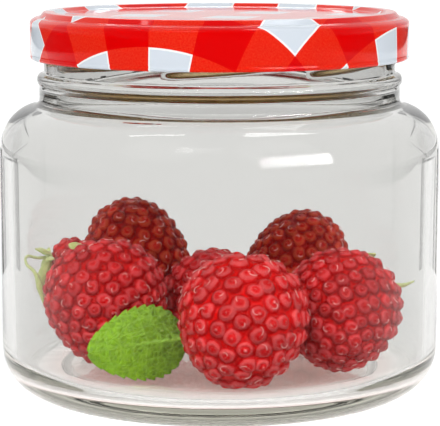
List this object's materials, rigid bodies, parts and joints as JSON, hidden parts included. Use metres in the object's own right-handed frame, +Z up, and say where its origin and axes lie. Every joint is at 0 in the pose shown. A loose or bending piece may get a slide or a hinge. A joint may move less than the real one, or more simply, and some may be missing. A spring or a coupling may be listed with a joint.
{
  "type": "glass storage jar of raspberries",
  "caption": "Squat round glass jar with a checked metal twist-off lid, holding raspberries and a mint leaf.",
  "frame": {"origin": "centre of the jar's round base, on the surface that it stands on", "axes": "+Z up along the jar's axis; the side on which the mint leaf shows faces -Y; +X is to the right as seen from that side"},
  "size_m": [0.0994, 0.0994, 0.0847],
  "materials": {
    "jar_glass": "clear moulded soda-lime glass, fire polished",
    "lid_tinplate": "tinned steel sheet printed with red and white gingham under clear varnish",
    "raspberry": "ripe raspberry skin, moist, with fine hairs",
    "mint": "fresh mint leaf, softly glossy, with pale veins",
    "sepal": "pale green downy sepals and stalk"
  },
  "bodies": {
    "root": {"glass_jar": "jar_glass", "lid": "lid_tinplate", "berry_front": "raspberry", "berry_left": "raspberry", "berry_right": "raspberry", "berry_back_left": "raspberry", "berry_back_right": "raspberry", "berry_back_middle": "raspberry", "berry_far_left": "raspberry", "mint_leaf": "mint", "calyx_far_left": "sepal", "calyx_right": "sepal", "sepal_left": "sepal", "stalk_far_left": "sepal", "stalk_right": "sepal"}
  },
  "joints": []
}
